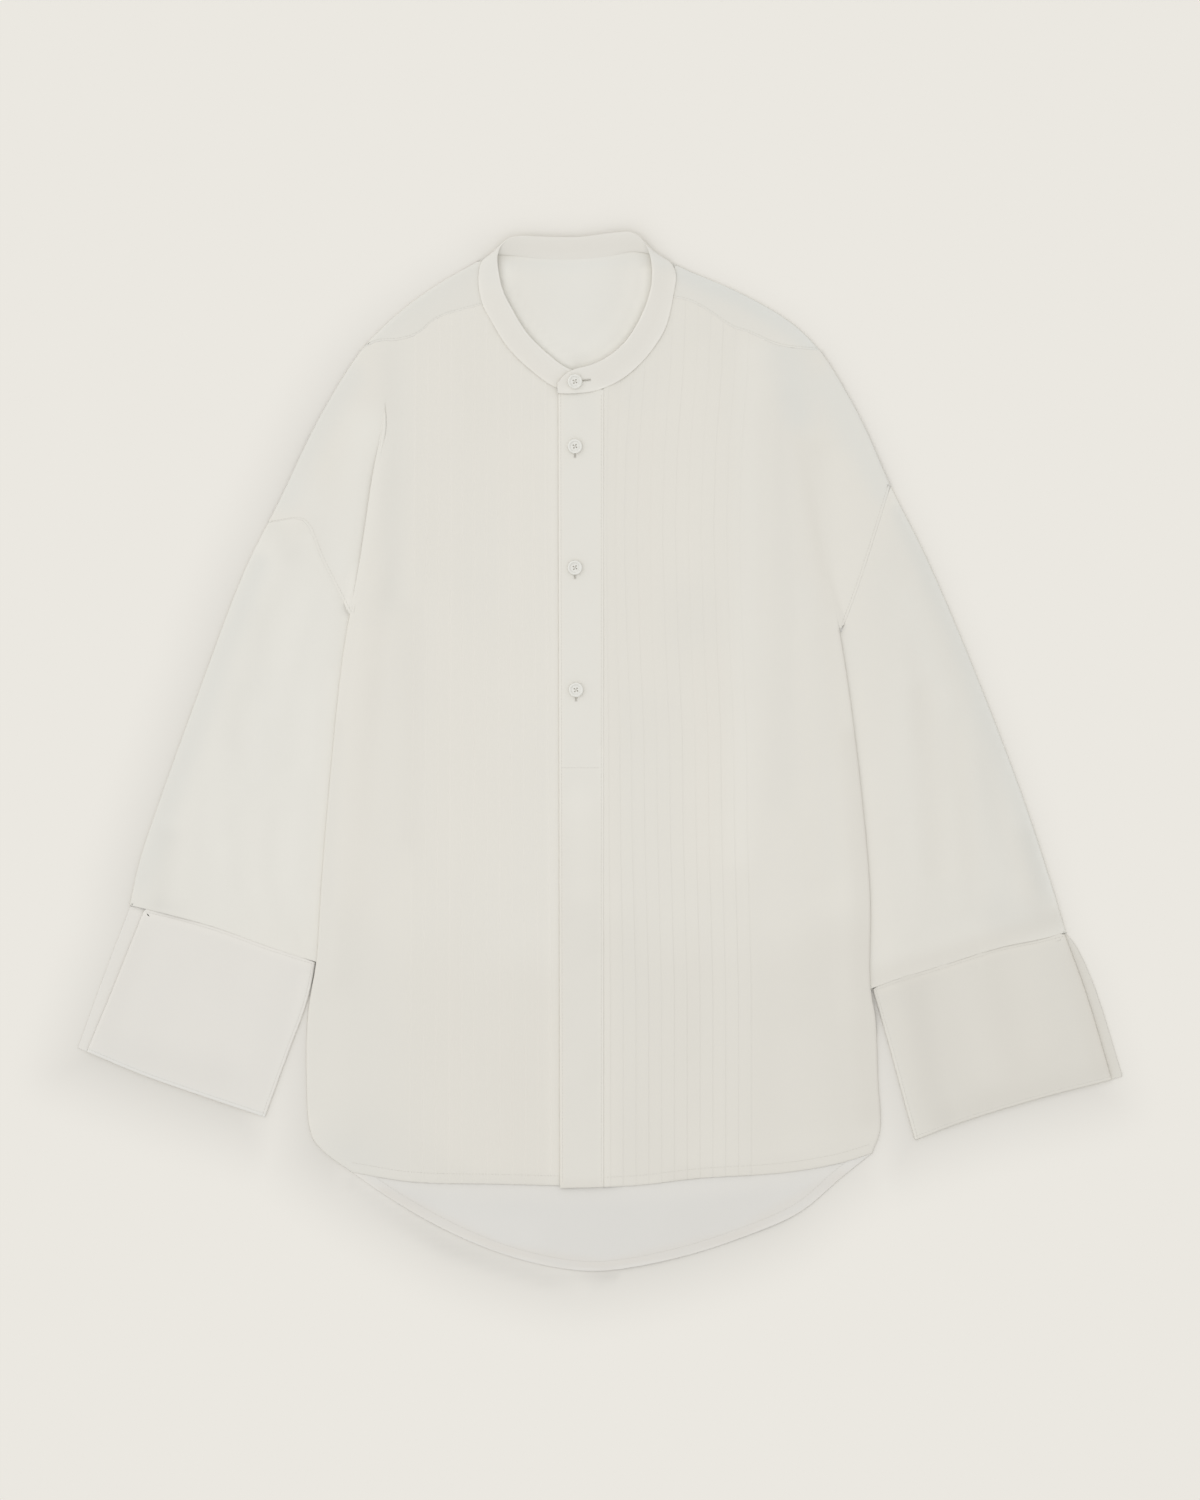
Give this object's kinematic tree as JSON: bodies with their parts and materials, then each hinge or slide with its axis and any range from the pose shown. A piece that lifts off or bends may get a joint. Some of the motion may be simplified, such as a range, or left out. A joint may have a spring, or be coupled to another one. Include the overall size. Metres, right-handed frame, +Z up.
{
  "type": "tuxedo shirt",
  "caption": "Collarless dress shirt laid flat, with a pintucked front, fly placket, wide sleeves and deep open cuffs.",
  "frame": {"origin": "middle of the shirt's outline, on the surface it lies on", "axes": "+Z up from the surface, +Y towards the neck, +X towards the wearer's left sleeve"},
  "size_m": [0.8352, 0.8308, 0.0122],
  "materials": {
    "cloth": "matt off-white woven cotton",
    "button": "off-white satin resin"
  },
  "bodies": {
    "root": {"back_panel": "cloth", "yoke": "cloth", "front_right": "cloth", "front_left": "cloth", "sleeve_right": "cloth", "sleeve_left": "cloth", "cuff_right": "cloth", "cuff_left": "cloth", "placket": "cloth", "collar_band": "cloth", "button_collar": "button", "button_chest": "button", "button_middle": "button", "button_lower": "button", "fly_button_1": "button", "fly_button_2": "button", "fly_button_3": "button"}
  },
  "joints": []
}
